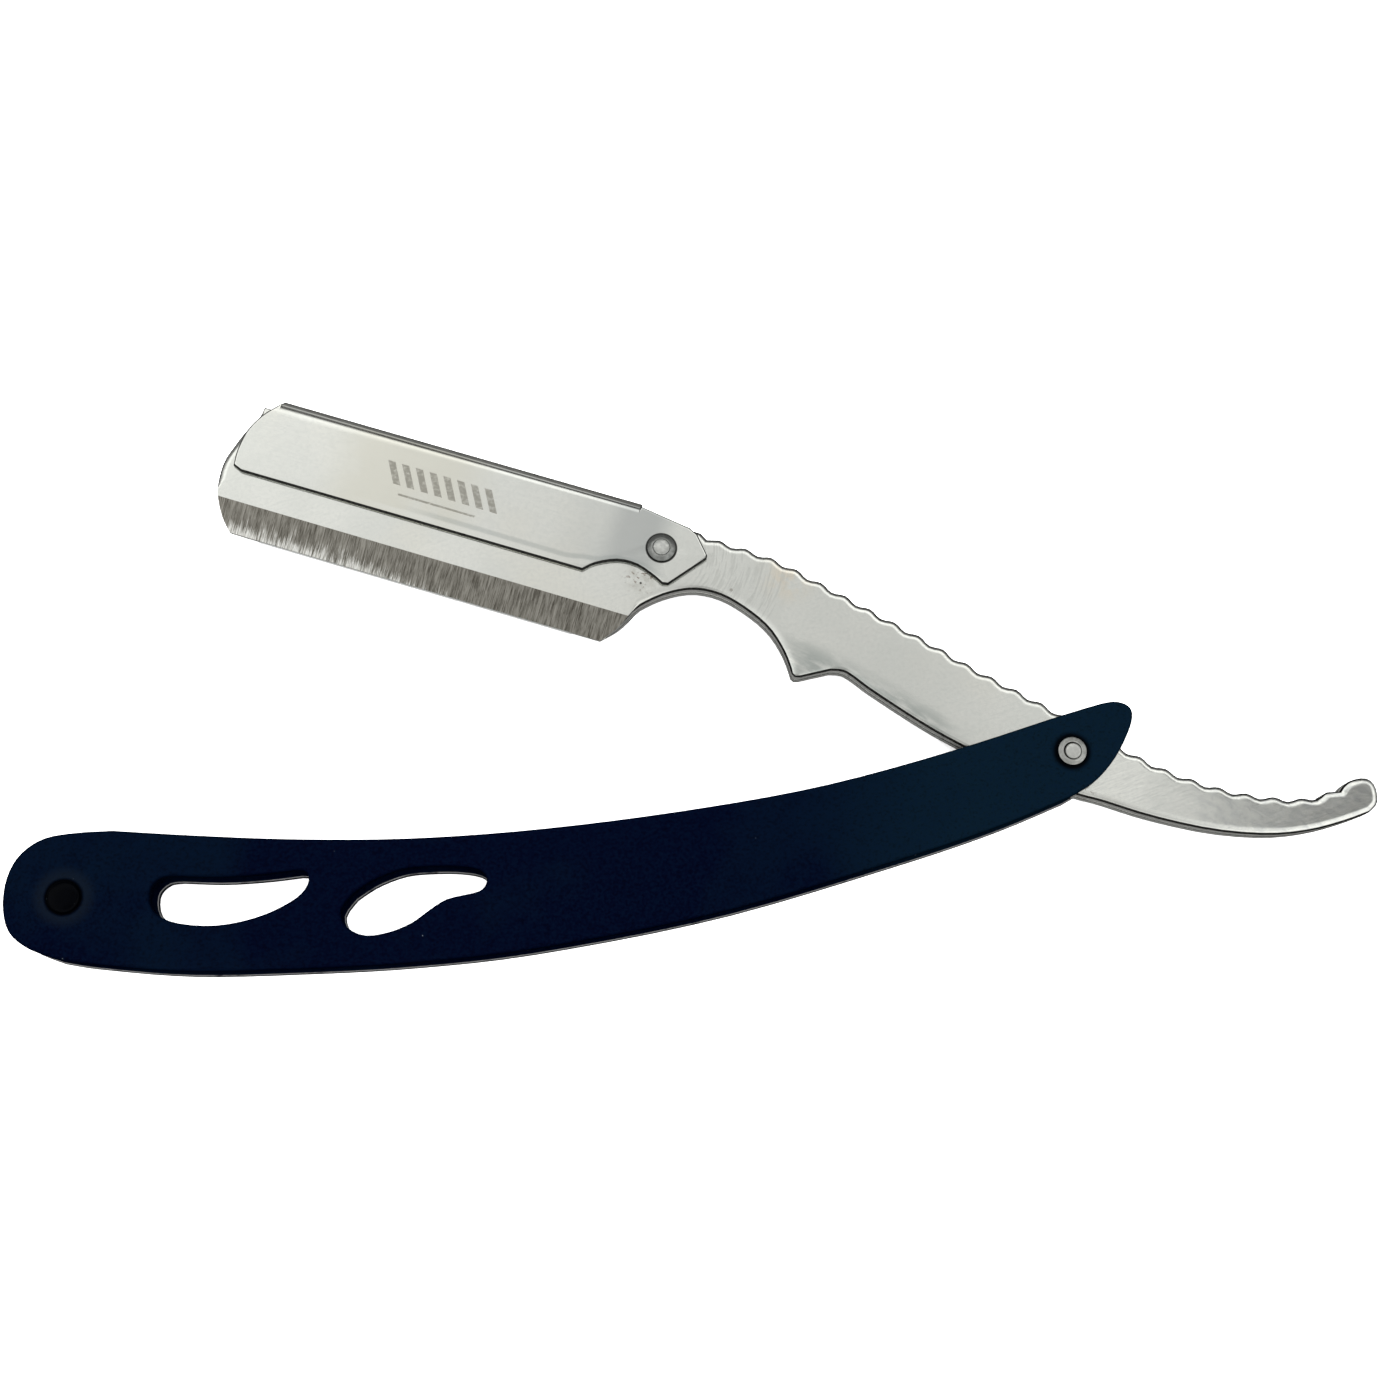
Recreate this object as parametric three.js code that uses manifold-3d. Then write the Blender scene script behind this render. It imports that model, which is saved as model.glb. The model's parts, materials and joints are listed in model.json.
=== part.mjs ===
// Folding barber's razor that takes half of a double-edge blade.
//
// Millimetres, +Z up. The razor lies flat: +X runs from the handle's tip towards the tail, +Y from
// the cutting edge towards the spine of the open arm, and +Z is the upper side. Every outline is drawn
// about the main pivot, with z = 0 on the middle plane between the two halves. The last lines move the
// whole group so that the origin is under the middle of the razor, on the surface it lies on.

import * as THREE from 'three';
import * as BufferGeometryUtils from 'three/addons/utils/BufferGeometryUtils.js';
import Module from 'manifold-3d';

const wasm = await Module();
wasm.setup();

// ---- Driving dimensions ----

// Layers, as heights above the middle plane. The lower side mirrors them.
const PLATE_SPLIT = 0.02;
const PLATE_TOP = 1.4;
const WASHER_BOTTOM = 1.45;
const WASHER_TOP = 1.7;
const SCALE_BOTTOM = 1.75;
const SCALE_TOP = 2.95;
const COVER_INSIDE = 1.45;
const COVER_OUTSIDE = 2.05;
const LAYER_GAP = 0.05;

// Main pivot, at the origin.
const PIVOT_SHAFT_R = 1.1;
const PIVOT_HEAD_R = 1.16;
const PIVOT_HEAD_TOP = 3.6;
const PIVOT_COLLAR_R = 1.88;
const PIVOT_COLLAR_TOP = 3.4;
const PIVOT_WASHER_R = 4.2;

// Rivet at the far end of the handle, and the spacer tube on it.
const END_RIVET = new THREE.Vector2(-127.7, -20.7);
const END_SHAFT_R = 1.2;
const END_HEAD_R = 2.05;
const END_HEAD_TOP = 3.6;
const END_SPACER_R = 2.3;

// Rivet that the locking cover turns on.
const COVER_RIVET = new THREE.Vector2(-53.7, 27.3);
const COVER_SHAFT_R = 1.0;
const COVER_HEAD_R = 1.15;
const COVER_HEAD_TOP = 2.7;
const COVER_COLLAR_R = 1.9;
const COVER_COLLAR_TOP = 2.55;

// Running clearance of a shaft in its hole.
const HOLE_CLEARANCE = 0.09;

// The cutting edge of the holder, from its toe to its heel, and the ground bevel along it.
const EDGE_TOE = new THREE.Vector2(-110.4, 28.9);
const EDGE_HEEL = new THREE.Vector2(-61.7, 14.9);
const BEVEL_WIDTH = 4.0;
const BEVEL_EDGE_Z = 0.2;

// The blade is one snapped half of a standard double-edge blade.
const BLADE_LENGTH = 43;
const BLADE_DEPTH = 11;
const BLADE_HALF_THICKNESS = 0.05;
const BLADE_PROUD = 0.2;
const BLADE_NOTCH_R = 1.7;
const BLADE_NOTCH_SPACING = 28;
const BLADE_CORNER_LENGTH = 2.4;
const BLADE_CORNER_DEPTH = 2.2;
const BLADE_EDGE_GRIND = 1.3;
const STUD_R = 1.3;
const STUD_HALF_LENGTH = 1.34;

// The shallow seat that the blade lies in, cut in the inner face of both arm plates.
const SEAT_Z = 0.08;
const SEAT_MARGIN = 0.25;

// The fold that joins the cover's two wings over the spine, from its left end to its right end.
const FOLD_LEFT = new THREE.Vector2(-104.0, 47.5);
const FOLD_RIGHT = new THREE.Vector2(-56.2, 34.1);
const SPINE_DROP = 1.9;
// How far the flat wings stop short of the fold's outer line at both of its ends.
const WING_STEP = 0.9;

// Grip scallops along the back of the tang and tail.
const SCALLOP_COUNT = 24;
const SCALLOP_DEPTH = 0.5;
const SCALLOP_STEPS = 6;

const CIRCLE_STEPS = 28;
const SMALL_CIRCLE_STEPS = 20;

// ---- Materials ----

const steel = new THREE.MeshStandardMaterial({ color: 0xc9cac1, roughness: 0.28, metalness: 1 });
const darkCoat = new THREE.MeshStandardMaterial({ color: 0x06151f, roughness: 0.5, metalness: 0.2 });
const rivetSteel = new THREE.MeshStandardMaterial({ color: 0xa9aaa6, roughness: 0.38, metalness: 1 });
const bladeSteel = new THREE.MeshStandardMaterial({ color: 0xb9bbb8, roughness: 0.22, metalness: 1 });
const brass = new THREE.MeshStandardMaterial({ color: 0xb08d4a, roughness: 0.35, metalness: 1 });

// ---- Outlines ----

const point = (x, y) => new THREE.Vector2(x, y);

// A smooth run of points through the given ones.
function smooth(points, steps) {
  return new THREE.SplineCurve(points).getPoints(steps);
}

function circle(centre, radius, steps = CIRCLE_STEPS) {
  const path = new THREE.Path();
  path.absarc(centre.x, centre.y, radius, 0, 2 * Math.PI, false);
  return new THREE.Path(path.getPoints(steps).slice(0, -1));
}

// Part of a circle as points, both ends included.
function arc(centre, radius, startAngle, endAngle, steps) {
  const curve = new THREE.EllipseCurve(
    centre.x, centre.y, radius, radius, startAngle, endAngle, endAngle < startAngle);
  return curve.getPoints(steps);
}

// Joins runs of points end to end, leaving out a point that repeats the one before it. The result
// runs anticlockwise.
function outline(...runs) {
  const kept = [];
  for (const next of runs.flat()) {
    const last = kept[kept.length - 1];
    if (!last || last.distanceTo(next) > 0.02) kept.push(next);
  }
  if (kept[0].distanceTo(kept[kept.length - 1]) < 0.02) kept.pop();
  if (THREE.ShapeUtils.isClockWise(kept)) kept.reverse();
  return new THREE.Shape(kept);
}

// ---- Solids ----

// Merges shared corners and makes the faces point out.
function closed(geometry) {
  geometry.deleteAttribute('normal');
  geometry.deleteAttribute('uv');
  const merged = BufferGeometryUtils.mergeVertices(geometry, 1e-5);
  if (signedVolume(merged) < 0) {
    const index = merged.index.array;
    for (let i = 0; i < index.length; i += 3) {
      [index[i], index[i + 1]] = [index[i + 1], index[i]];
    }
  }
  return merged;
}

function signedVolume(geometry) {
  const position = geometry.attributes.position;
  const index = geometry.index.array;
  const a = new THREE.Vector3();
  const b = new THREE.Vector3();
  const c = new THREE.Vector3();
  let volume = 0;
  for (let i = 0; i < index.length; i += 3) {
    a.fromBufferAttribute(position, index[i]);
    b.fromBufferAttribute(position, index[i + 1]);
    c.fromBufferAttribute(position, index[i + 2]);
    volume += a.dot(b.cross(c)) / 6;
  }
  return volume;
}

// A flat plate between two heights.
function slab(shape, lowZ, highZ) {
  const geometry = new THREE.ExtrudeGeometry(shape, { depth: highZ - lowZ, bevelEnabled: false });
  geometry.translate(0, 0, lowZ);
  return closed(geometry);
}

// A turned piece from its profile of [radius, height] pairs, standing at a place on the plane.
function turned(profile, place = point(0, 0), steps = CIRCLE_STEPS) {
  const points = profile.map(([radius, height]) => point(radius, height));
  const geometry = new THREE.LatheGeometry(points, steps);
  geometry.rotateX(Math.PI / 2);
  geometry.translate(place.x, place.y, 0);
  return closed(geometry);
}

function toManifold(geometry) {
  const mesh = new wasm.Mesh({
    numProp: 3,
    vertProperties: new Float32Array(geometry.attributes.position.array),
    triVerts: new Uint32Array(geometry.index.array),
  });
  mesh.merge();
  return new wasm.Manifold(mesh);
}

function fromManifold(solid) {
  const mesh = solid.getMesh();
  const geometry = new THREE.BufferGeometry();
  geometry.setAttribute('position', new THREE.BufferAttribute(mesh.vertProperties, 3));
  geometry.setIndex(new THREE.BufferAttribute(mesh.triVerts, 1));
  return geometry;
}

// The same solid on the other side of the middle plane.
function mirrored(geometry) {
  const copy = geometry.clone();
  copy.scale(1, 1, -1);
  return closed(copy);
}

// ---- Directions along the holder ----

const alongEdge = EDGE_HEEL.clone().sub(EDGE_TOE).normalize();
const offEdge = point(-alongEdge.y, alongEdge.x);
const alongFold = FOLD_RIGHT.clone().sub(FOLD_LEFT).normalize();
const belowFold = point(alongFold.y, -alongFold.x);

// A place given as millimetres along the edge from its middle, and inward from it.
const edgeMiddle = EDGE_TOE.clone().add(EDGE_HEEL).multiplyScalar(0.5);
function atEdge(along, inward) {
  return edgeMiddle.clone().addScaledVector(alongEdge, along).addScaledVector(offEdge, inward);
}

const bladeBack = BLADE_DEPTH - BLADE_PROUD;
const studPlaces = [-1, 1].map((side) => atEdge(side * BLADE_NOTCH_SPACING / 2, bladeBack));

// ---- Handle ----

// A long scale that curves down to a round tip, and narrows to a slanted point past the pivot.
function scaleOutline() {
  const topEdge = smooth([
    point(-122.3, -12.1), point(-111.6, -12.6), point(-99.4, -12.9), point(-85.1, -12.6),
    point(-69.1, -11.2), point(-51.0, -8.6), point(-33.2, -5.1), point(-15.9, -0.1),
    point(-1.3, 4.9), point(4.3, 6.7)], 40);
  const nose = smooth([
    point(4.3, 6.7), point(6.2, 7.0), point(7.8, 6.5), point(8.4, 5.3), point(7.8, 3.0),
    point(5.8, -0.7), point(3.1, -3.8), point(-0.1, -5.9)], 24);
  const bottomEdge = smooth([
    point(-0.1, -5.9), point(-9.9, -10.1), point(-23.4, -14.8), point(-45.9, -21.7),
    point(-68.8, -26.5), point(-84.6, -28.5), point(-98.7, -29.4), point(-112.5, -29.8),
    point(-123.8, -29.0), point(-128.6, -28.3)], 40);
  const tip = smooth([
    point(-128.6, -28.3), point(-131.9, -27.0), point(-134.2, -25.0), point(-135.1, -21.9),
    point(-134.9, -18.3), point(-133.5, -15.3), point(-130.7, -13.2), point(-126.6, -12.4),
    point(-122.3, -12.1)], 28);
  return outline(topEdge, nose, bottomEdge, tip);
}

// Two leaf-shaped lightening cut-outs, with their broad end towards the handle's tip.
function firstCutout() {
  return new THREE.Path(outline(
    smooth([
      point(-114.4, -17.8), point(-109.0, -17.9), point(-103.8, -17.5), point(-99.5, -16.9)], 10),
    smooth([
      point(-99.5, -16.9), point(-98.2, -17.1), point(-97.9, -18.6), point(-99.5, -20.6),
      point(-103.7, -22.8), point(-108.9, -24.0), point(-114.0, -23.7), point(-116.8, -22.2),
      point(-117.3, -19.6), point(-116.1, -18.1), point(-114.4, -17.8)], 34)).getPoints());
}

function secondCutout() {
  return new THREE.Path(outline(
    smooth([
      point(-92.3, -19.8), point(-89.7, -18.0), point(-86.2, -16.6),
      point(-82.6, -16.2), point(-79.0, -16.2), point(-76.4, -16.7), point(-75.6, -17.9),
      point(-76.3, -19.2), point(-78.3, -19.8)], 28),
    smooth([
      point(-78.3, -19.8), point(-80.6, -20.4), point(-82.6, -21.7), point(-84.8, -23.4),
      point(-87.5, -24.6), point(-90.5, -25.1), point(-92.8, -24.1), point(-93.7, -22.0),
      point(-92.3, -19.8)], 24),
  ).getPoints());
}

function scaleSolid() {
  const shape = scaleOutline();
  shape.holes.push(
    firstCutout(),
    secondCutout(),
    circle(point(0, 0), PIVOT_SHAFT_R + HOLE_CLEARANCE),
    circle(END_RIVET, END_SHAFT_R + HOLE_CLEARANCE));
  return slab(shape, SCALE_BOTTOM, SCALE_TOP);
}

// A straight shaft whose two ends are domed heads.
function domedRivet(shaftR, headR, headBottom, headTop, place) {
  const rise = headTop - headBottom;
  const dome = [];
  const domeSteps = 5;
  for (let i = 0; i < domeSteps; i += 1) {
    const angle = (i / domeSteps) * Math.PI / 2;
    dome.push([headR * Math.cos(angle), headBottom + rise * Math.sin(angle)]);
  }
  const upper = [[shaftR, headBottom], ...dome, [0, headTop]];
  const lower = upper.map(([radius, height]) => [radius, -height]).reverse();
  return turned([...lower, ...upper], place, SMALL_CIRCLE_STEPS);
}

function endSpacer() {
  const innerR = END_SHAFT_R + HOLE_CLEARANCE;
  return turned([
    [innerR, -WASHER_TOP], [END_SPACER_R, -WASHER_TOP], [END_SPACER_R, WASHER_TOP],
    [innerR, WASHER_TOP], [innerR, -WASHER_TOP]], END_RIVET, SMALL_CIRCLE_STEPS);
}

// ---- Pins with peened heads, and the collars and washers on them ----

// A shaft whose ends are peened into low heads that stand in the collars' cups.
function peenedPin(shaftR, headR, cupFloor, headTop, place) {
  const shoulder = 0.12;
  const upper = [
    [shaftR, cupFloor], [headR, cupFloor + shoulder], [headR, headTop - shoulder],
    [headR - 2 * shoulder, headTop - 0.02], [0, headTop]];
  const lower = upper.map(([radius, height]) => [radius, -height]).reverse();
  return turned([...lower, ...upper], place, SMALL_CIRCLE_STEPS);
}

// A low domed collar under a peened head, with a bore that clears the head.
function collar(boreR, outerR, bottom, top, place) {
  const rise = top - bottom;
  return turned([
    [boreR, bottom], [outerR - 0.12, bottom], [outerR, bottom + 0.3 * rise],
    [outerR - 0.14, bottom + 0.72 * rise], [boreR + 0.22, top], [boreR, top - 0.1],
    [boreR, bottom]], place);
}

function flatWasher(boreR, outerR, bottom, top, place) {
  return turned(
    [[boreR, bottom], [outerR, bottom], [outerR, top], [boreR, top], [boreR, bottom]], place);
}

// ---- Arm ----

// The back of the tang and tail: a flowing line over the crests of even scallops for the fingers.
function scallopedBack() {
  const crests = new THREE.SplineCurve([
    point(-45.9, 29.0), point(-38.5, 26.5), point(-31.6, 22.9), point(-18.9, 15.9),
    point(-12.1, 11.9), point(-2.8, 6.9), point(9.6, 0.0), point(16.6, -3.0),
    point(23.6, -4.8), point(30.8, -5.4), point(34.6, -4.5)]);
  const steps = SCALLOP_COUNT * SCALLOP_STEPS;
  const points = [];
  for (let i = 0; i <= steps; i += 1) {
    const t = i / steps;
    const tangent = crests.getTangentAt(t);
    const drop = SCALLOP_DEPTH * (1 - Math.cos(2 * Math.PI * SCALLOP_COUNT * t)) / 2;
    points.push(crests.getPointAt(t).addScaledVector(point(tangent.y, -tangent.x), drop));
  }
  return points;
}

// One arm plate: the holder at the upper left, the finger notch and spur under it, the tang that
// runs through the pivot, and the upswept tail.
function armOutline() {
  const spineLeft = FOLD_LEFT.clone()
    .addScaledVector(belowFold, SPINE_DROP).addScaledVector(alongFold, -2.2);
  const spineRight = FOLD_RIGHT.clone()
    .addScaledVector(belowFold, SPINE_DROP).addScaledVector(alongFold, 6.5);
  const beforeScallops = [point(-48.4, 29.9), point(-47.6, 29.0)];
  const tailTip = smooth([
    point(36.3, -4.4), point(36.9, -3.6), point(38.1, -2.8), point(40.0, -2.5), point(41.1, -3.4),
    point(41.4, -4.8), point(41.2, -6.1), point(40.1, -7.2)], 16);
  const tailUnderside = smooth([
    point(40.1, -7.2), point(36.6, -8.5), point(31.8, -9.8), point(26.2, -10.4),
    point(18.9, -9.9), point(10.8, -8.2), point(4.3, -6.2), point(0.5, -5.2), point(-7.0, -2.6),
    point(-14.2, 1.1), point(-19.0, 3.8), point(-25.8, 8.3), point(-28.3, 10.2),
    point(-29.7, 11.0), point(-31.3, 11.1)], 40);
  const spur = [point(-35.3, 10.1), point(-36.0, 10.1)];
  const fingerNotch = smooth([
    point(-36.4, 10.5), point(-37.5, 13.6), point(-39.5, 16.8), point(-42.5, 19.4),
    point(-45.8, 21.3), point(-49.3, 22.0), point(-52.9, 21.3), point(-56.2, 19.7),
    point(-57.7, 18.4)], 26);
  const heel = smooth([
    point(-57.7, 18.4), point(-59.1, 16.8), point(-60.5, 15.7), EDGE_HEEL], 8);
  const toe = smooth([
    EDGE_TOE, point(-110.8, 29.3), point(-111.6, 31.0), point(-112.1, 33.3), point(-112.2, 35.8),
    point(-111.6, 38.5), point(-110.4, 40.7), point(-108.9, 43.0), point(-107.3, 44.9),
    spineLeft], 24);
  return outline(
    [spineLeft, spineRight], beforeScallops, scallopedBack(), tailTip, tailUnderside, spur,
    fingerNotch, heel, toe);
}

// A long wedge that takes the outer corner off the edge side of an arm plate.
function bevelCutter() {
  const overrun = 8;
  const section = new THREE.Shape([
    point(-2, BEVEL_EDGE_Z - 2 * (PLATE_TOP - BEVEL_EDGE_Z) / BEVEL_WIDTH),
    point(BEVEL_WIDTH, PLATE_TOP),
    point(BEVEL_WIDTH, PLATE_TOP + 1),
    point(-2, PLATE_TOP + 1)]);
  const length = EDGE_TOE.distanceTo(EDGE_HEEL) + 2 * overrun;
  const geometry = new THREE.ExtrudeGeometry(section, { depth: length, bevelEnabled: false });
  const start = atEdge(-length / 2, 0);
  // The section's x becomes the way inward from the edge, its y becomes height.
  const basis = new THREE.Matrix4().makeBasis(
    new THREE.Vector3(offEdge.x, offEdge.y, 0),
    new THREE.Vector3(0, 0, 1),
    new THREE.Vector3(alongEdge.x, alongEdge.y, 0));
  basis.setPosition(start.x, start.y, 0);
  geometry.applyMatrix4(basis);
  return closed(geometry);
}

// The blade's seat, open at the cutting edge.
function seatCutter() {
  const half = BLADE_LENGTH / 2 + SEAT_MARGIN;
  const shape = new THREE.Shape([
    atEdge(-half, -3), atEdge(half, -3),
    atEdge(half, bladeBack + SEAT_MARGIN), atEdge(-half, bladeBack + SEAT_MARGIN)]);
  return slab(shape, -1, SEAT_Z);
}

function armPlateSolid() {
  const shape = armOutline();
  shape.holes.push(
    circle(point(0, 0), PIVOT_SHAFT_R + HOLE_CLEARANCE),
    circle(COVER_RIVET, COVER_SHAFT_R + HOLE_CLEARANCE));
  for (const place of studPlaces) {
    shape.holes.push(circle(place, STUD_R + HOLE_CLEARANCE, SMALL_CIRCLE_STEPS));
  }
  const plate = toManifold(slab(shape, PLATE_SPLIT, PLATE_TOP));
  const ground = plate.subtract(toManifold(bevelCutter()));
  return fromManifold(ground.subtract(toManifold(seatCutter())));
}

function stud(place) {
  const chamfer = 0.15;
  return turned([
    [0, -STUD_HALF_LENGTH], [STUD_R - chamfer, -STUD_HALF_LENGTH],
    [STUD_R, chamfer - STUD_HALF_LENGTH], [STUD_R, STUD_HALF_LENGTH - chamfer],
    [STUD_R - chamfer, STUD_HALF_LENGTH], [0, STUD_HALF_LENGTH]], place, SMALL_CIRCLE_STEPS);
}

// ---- Blade ----

// Half of a double-edge blade: a sharp front edge, stepped corners, and a half-round notch for each
// stud in the back edge.
function bladeOutline() {
  const half = BLADE_LENGTH / 2;
  const front = -BLADE_PROUD;
  const points = [
    atEdge(-half, front), atEdge(half, front),
    atEdge(half, bladeBack - BLADE_CORNER_DEPTH),
    atEdge(half - BLADE_CORNER_LENGTH, bladeBack - BLADE_CORNER_DEPTH),
    atEdge(half - BLADE_CORNER_LENGTH, bladeBack)];
  const edgeAngle = alongEdge.angle();
  for (const place of [...studPlaces].reverse()) {
    points.push(...arc(place, BLADE_NOTCH_R, edgeAngle, edgeAngle - Math.PI, 10));
  }
  points.push(
    atEdge(BLADE_CORNER_LENGTH - half, bladeBack),
    atEdge(BLADE_CORNER_LENGTH - half, bladeBack - BLADE_CORNER_DEPTH),
    atEdge(-half, bladeBack - BLADE_CORNER_DEPTH));
  return new THREE.Shape(points);
}

// Takes one face's grind off the sharp edge.
function grindCutter(side) {
  const reach = BLADE_LENGTH / 2 + 1;
  const depth = BLADE_EDGE_GRIND;
  const flat = BLADE_HALF_THICKNESS;
  const section = new THREE.Shape([
    point(-1, side * 0.01), point(0, side * 0.01), point(depth, side * flat),
    point(depth, side * (flat + 1)), point(-1, side * (flat + 1))]);
  const geometry = new THREE.ExtrudeGeometry(section, { depth: 2 * reach, bevelEnabled: false });
  const start = atEdge(-reach, -BLADE_PROUD);
  const basis = new THREE.Matrix4().makeBasis(
    new THREE.Vector3(offEdge.x, offEdge.y, 0),
    new THREE.Vector3(0, 0, 1),
    new THREE.Vector3(alongEdge.x, alongEdge.y, 0));
  basis.setPosition(start.x, start.y, 0);
  geometry.applyMatrix4(basis);
  return closed(geometry);
}

function bladeSolid() {
  const flat = toManifold(slab(bladeOutline(), -BLADE_HALF_THICKNESS, BLADE_HALF_THICKNESS));
  const oneSide = flat.subtract(toManifold(grindCutter(1)));
  return fromManifold(oneSide.subtract(toManifold(grindCutter(-1))));
}

// ---- Locking cover ----

// One wing: a rounded left end, a straight lower edge, and an arch that leads to a pointed nose
// round the rivet. The fold joins it between its two upper corners.
function wingOutline() {
  const foldStartLeft = FOLD_LEFT.clone().addScaledVector(belowFold, COVER_OUTSIDE);
  const foldStartRight = FOLD_RIGHT.clone().addScaledVector(belowFold, COVER_OUTSIDE);
  const cornerLeft = FOLD_LEFT.clone().addScaledVector(belowFold, WING_STEP);
  const cornerRight = FOLD_RIGHT.clone().addScaledVector(belowFold, WING_STEP);
  const leftEnd = smooth([
    cornerLeft, point(-105.6, 45.8), point(-107.2, 44.5), point(-108.7, 42.6),
    point(-109.8, 39.9), point(-110.2, 37.7)], 16);
  const arch = smooth([
    point(-64.1, 24.1), point(-62.4, 25.0), point(-59.5, 25.5), point(-56.9, 24.9),
    point(-54.6, 23.3)], 12);
  const nose = [
    point(-53.6, 22.4), point(-52.8, 22.3), point(-47.7, 26.0), point(-47.6, 26.5),
    point(-48.9, 29.4), point(-49.9, 30.3)];
  return outline(
    [cornerRight, foldStartRight, foldStartLeft], leftEnd, [point(-109.2, 36.9)], arch, nose);
}

// The half-round bend over the spine, as long as the fold.
function foldSolid() {
  const bendSteps = 14;
  const centre = point(0, 0);
  const section = outline(
    arc(centre, COVER_OUTSIDE, 0, Math.PI, bendSteps),
    [point(-COVER_OUTSIDE, -0.2), point(-COVER_INSIDE, -0.2)],
    arc(centre, COVER_INSIDE, Math.PI, 0, bendSteps),
    [point(COVER_INSIDE, -0.2), point(COVER_OUTSIDE, -0.2)]);
  const length = FOLD_LEFT.distanceTo(FOLD_RIGHT);
  const geometry = new THREE.ExtrudeGeometry(section, { depth: length, bevelEnabled: false });
  // The section's x becomes height, its y the way up from the bend's centre line.
  const basis = new THREE.Matrix4().makeBasis(
    new THREE.Vector3(0, 0, 1),
    new THREE.Vector3(-belowFold.x, -belowFold.y, 0),
    new THREE.Vector3(alongFold.x, alongFold.y, 0));
  const start = FOLD_LEFT.clone().addScaledVector(belowFold, COVER_OUTSIDE);
  basis.setPosition(start.x, start.y, 0);
  geometry.applyMatrix4(basis);
  return closed(geometry);
}

function coverSolid() {
  const shape = wingOutline();
  shape.holes.push(circle(COVER_RIVET, COVER_SHAFT_R + HOLE_CLEARANCE));
  const frontWing = slab(shape, COVER_INSIDE, COVER_OUTSIDE);
  const wings = toManifold(frontWing).add(toManifold(mirrored(frontWing)));
  return fromManifold(wings.add(toManifold(foldSolid())));
}

// ---- Assembly ----

const group = new THREE.Group();

function add(name, geometry, material) {
  const mesh = new THREE.Mesh(geometry, material);
  mesh.name = name;
  group.add(mesh);
}

function addPair(upperName, lowerName, geometry, material) {
  add(upperName, geometry, material);
  add(lowerName, mirrored(geometry), material);
}

const pivot = point(0, 0);
const scaleRest = SCALE_TOP + LAYER_GAP;
const coverRest = COVER_OUTSIDE + LAYER_GAP;

addPair('front_scale', 'back_scale', scaleSolid(), darkCoat);
add('end_rivet', domedRivet(END_SHAFT_R, END_HEAD_R, scaleRest, END_HEAD_TOP, END_RIVET), darkCoat);
add('end_spacer', endSpacer(), brass);

add('pivot_pin', peenedPin(
  PIVOT_SHAFT_R, PIVOT_HEAD_R, SCALE_TOP + 0.02, PIVOT_HEAD_TOP, pivot), rivetSteel);
addPair('pivot_front_collar', 'pivot_back_collar', collar(
  PIVOT_HEAD_R + HOLE_CLEARANCE, PIVOT_COLLAR_R, scaleRest, PIVOT_COLLAR_TOP, pivot), rivetSteel);
addPair('pivot_front_washer', 'pivot_back_washer', flatWasher(
  PIVOT_SHAFT_R + HOLE_CLEARANCE, PIVOT_WASHER_R, WASHER_BOTTOM, WASHER_TOP, pivot), brass);

addPair('front_arm_plate', 'back_arm_plate', armPlateSolid(), steel);
add('heel_blade_stud', stud(studPlaces[1]), rivetSteel);
add('toe_blade_stud', stud(studPlaces[0]), rivetSteel);
add('half_blade', bladeSolid(), bladeSteel);

add('cover_pin', peenedPin(
  COVER_SHAFT_R, COVER_HEAD_R, COVER_OUTSIDE + 0.02, COVER_HEAD_TOP, COVER_RIVET), rivetSteel);
addPair('cover_front_collar', 'cover_back_collar', collar(
  COVER_HEAD_R + HOLE_CLEARANCE, COVER_COLLAR_R, coverRest, COVER_COLLAR_TOP, COVER_RIVET),
rivetSteel);
add('lock_cover', coverSolid(), steel);

// The origin goes to the middle of the razor's box, at the height of its lowest point.
const box = new THREE.Box3().setFromObject(group);
const middle = box.getCenter(new THREE.Vector3());
group.position.set(-middle.x, -middle.y, -box.min.z);
group.updateMatrixWorld(true);

export default group;
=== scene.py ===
import json
import math

import bmesh
import bpy
from mathutils import Matrix, Vector
from mathutils.geometry import tessellate_polygon


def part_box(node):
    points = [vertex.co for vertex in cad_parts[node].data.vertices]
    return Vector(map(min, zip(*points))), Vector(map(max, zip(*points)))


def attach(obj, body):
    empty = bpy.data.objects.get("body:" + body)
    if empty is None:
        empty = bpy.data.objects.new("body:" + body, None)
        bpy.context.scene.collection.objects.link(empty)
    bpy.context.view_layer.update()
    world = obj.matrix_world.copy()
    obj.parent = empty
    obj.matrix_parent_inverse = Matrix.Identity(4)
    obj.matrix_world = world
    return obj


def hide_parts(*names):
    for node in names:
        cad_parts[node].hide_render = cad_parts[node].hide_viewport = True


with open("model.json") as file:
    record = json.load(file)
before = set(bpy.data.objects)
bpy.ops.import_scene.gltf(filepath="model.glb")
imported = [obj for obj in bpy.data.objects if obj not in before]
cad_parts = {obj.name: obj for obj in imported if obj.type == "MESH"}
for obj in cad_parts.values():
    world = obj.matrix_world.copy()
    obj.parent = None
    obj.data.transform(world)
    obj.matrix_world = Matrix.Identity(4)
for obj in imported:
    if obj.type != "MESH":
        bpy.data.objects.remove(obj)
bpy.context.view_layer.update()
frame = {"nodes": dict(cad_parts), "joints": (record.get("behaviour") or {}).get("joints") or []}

# Sizes below are in millimetres, and MM turns them into Blender's metres.
MM = 0.001
scene = bpy.context.scene

# ---- Places worked out from the frame ----


def node_centre(node):
    low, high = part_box(node)
    return (low + high) / 2


def node_size(node):
    low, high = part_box(node)
    return high - low


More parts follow.
